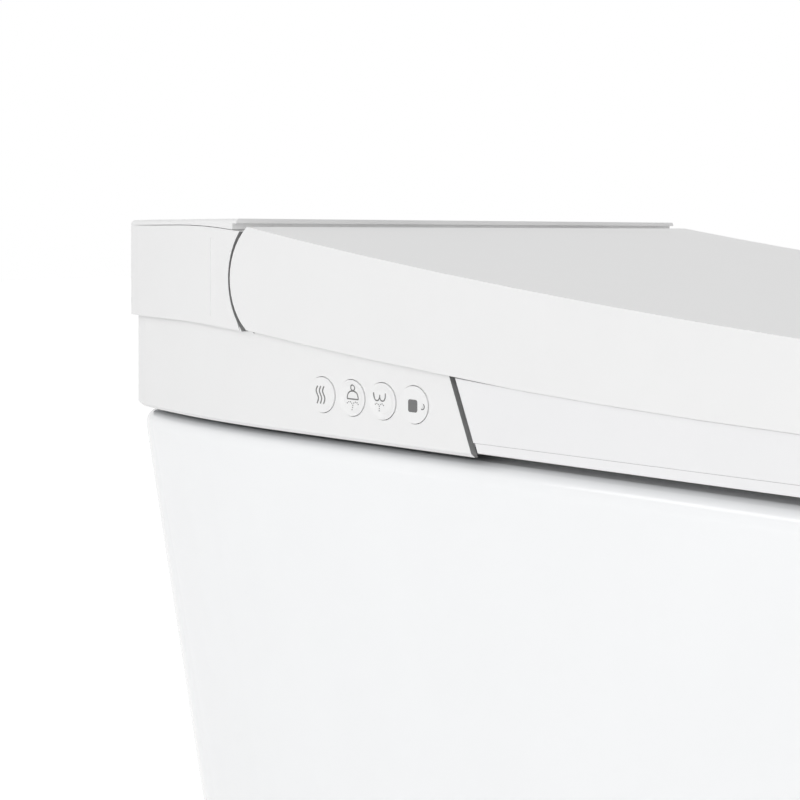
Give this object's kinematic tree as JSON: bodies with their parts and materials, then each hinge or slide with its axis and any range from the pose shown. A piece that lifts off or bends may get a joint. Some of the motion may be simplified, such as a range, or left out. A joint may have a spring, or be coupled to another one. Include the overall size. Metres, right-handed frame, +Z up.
{
  "type": "smart toilet with heated seat",
  "caption": "One-piece floor-standing smart toilet: tapered ceramic bowl with a flat rear unit, soft-close lid, heated seat, side push buttons, wash wand and dryer.",
  "frame": {"origin": "on the floor, under the middle of the outer box", "axes": "+X is the sitter's left, +Y points to the wall behind the toilet, +Z is up"},
  "size_m": [0.4, 0.7, 0.5],
  "materials": {
    "china": "gloss glaze",
    "cover_white": "satin-gloss moulded",
    "seat_white": "gloss moulded",
    "inner_white": "matt moulded",
    "button_grey": "satin silver-grey",
    "rubber_grey": "matt",
    "rubber_black": "matt",
    "steel": "brushed",
    "zinc": "zinc plated",
    "brass": "machined",
    "black_plastic": "matt moulded",
    "grey_plastic": "matt moulded",
    "board_green": "solder mask",
    "foil": "foil",
    "acetal": "natural"
  },
  "bodies": {
    "base": {"ceramic_body": "china", "lower_housing": "cover_white", "rear_cap": "cover_white", "top_plate": "cover_white", "deck_cover": "inner_white", "unit_base_plate": "grey_plastic", "deck_gaskets": "rubber_grey", "unit_bolts": "steel", "hinge_post_right": "zinc", "hinge_post_left": "zinc", "lid_damper": "grey_plastic", "seat_damper": "grey_plastic", "button_frame": "grey_plastic", "button_membrane": "rubber_grey", "button_board": "board_green", "wand_motor": "zinc", "wand_cradle": "grey_plastic", "nozzle_bay": "inner_white", "dryer_fan_housing": "grey_plastic", "dryer_duct": "grey_plastic", "dryer_motor": "zinc", "inlet_valve": "acetal", "water_filter": "grey_plastic", "water_heater": "grey_plastic", "diverter_valve": "acetal", "cold_hose": "rubber_grey", "warm_hose": "rubber_grey", "deodoriser": "black_plastic", "control_board": "board_green", "power_supply": "black_plastic", "booster_tank": "grey_plastic", "booster_pump": "zinc", "flush_hose": "rubber_black", "service_plate": "zinc", "water_inlet": "brass", "mains_gland": "black_plastic", "floor_brackets": "grey_plastic", "skirt_bolts": "steel"},
    "seat": {"seat_upper_shell": "seat_white", "seat_lower_shell": "seat_white", "seat_heater": "foil", "seat_thermostat": "black_plastic", "seat_bumpers": "rubber_grey", "seat_hinge_shaft": "steel"},
    "lid": {"lid_outer_shell": "cover_white", "lid_inner_shell": "inner_white", "lid_bumpers": "rubber_grey", "lid_hinge_shaft": "steel"},
    "dryer_key": {"button_dryer": "button_grey"},
    "front_wash_key": {"button_front_wash": "button_grey"},
    "rear_wash_key": {"button_rear_wash": "button_grey"},
    "stop_key": {"button_stop": "button_grey"},
    "wand": {"wash_wand": "steel", "wand_tip": "acetal", "wand_rack": "acetal"},
    "pinion": {"wand_pinion": "acetal"},
    "impeller": {"dryer_impeller": "black_plastic"}
  },
  "joints": [
    {"name": "seat_hinge", "type": "hinge", "parent": "base", "child": "seat", "pos_m": [0, 0.1932, 0.4713], "axis": [-1, 0, 0], "range_deg": [0, 94]},
    {"name": "lid_hinge", "type": "hinge", "parent": "seat", "child": "lid", "pos_m": [0, 0.1932, 0.4713], "axis": [1, 0, 0], "range_deg": [-97, 0]},
    {"name": "dryer_press", "type": "slide", "parent": "base", "child": "dryer_key", "axis": [1, 0, 0], "range_m": [0, 0.0012], "stiffness_N_per_m": 1500, "springref_m": -0.0005},
    {"name": "front_wash_press", "type": "slide", "parent": "base", "child": "front_wash_key", "axis": [1, 0, 0], "range_m": [0, 0.0012], "stiffness_N_per_m": 1500, "springref_m": -0.0005},
    {"name": "rear_wash_press", "type": "slide", "parent": "base", "child": "rear_wash_key", "axis": [1, 0, 0], "range_m": [0, 0.0012], "stiffness_N_per_m": 1500, "springref_m": -0.0005},
    {"name": "stop_press", "type": "slide", "parent": "base", "child": "stop_key", "axis": [1, 0, 0], "range_m": [0, 0.0012], "stiffness_N_per_m": 1500, "springref_m": -0.0005},
    {"name": "wand_slide", "type": "slide", "parent": "base", "child": "wand", "axis": [0, -0.9511, -0.309], "range_m": [0, 0.1]},
    {"name": "pinion_spin", "type": "hinge", "parent": "base", "child": "pinion", "pos_m": [0, 0.22176, 0.40444], "axis": [1, 0, 0], "range_deg": [0, 535]},
    {"name": "impeller_spin", "type": "hinge", "parent": "base", "child": "impeller", "pos_m": [-0.063, 0.258, 0.385], "axis": [0, 0, 1], "continuous": true}
  ],
  "couplings": [
    {"joint": "pinion_spin", "follows": "wand_slide", "rad_per_m": 92.593}
  ]
}
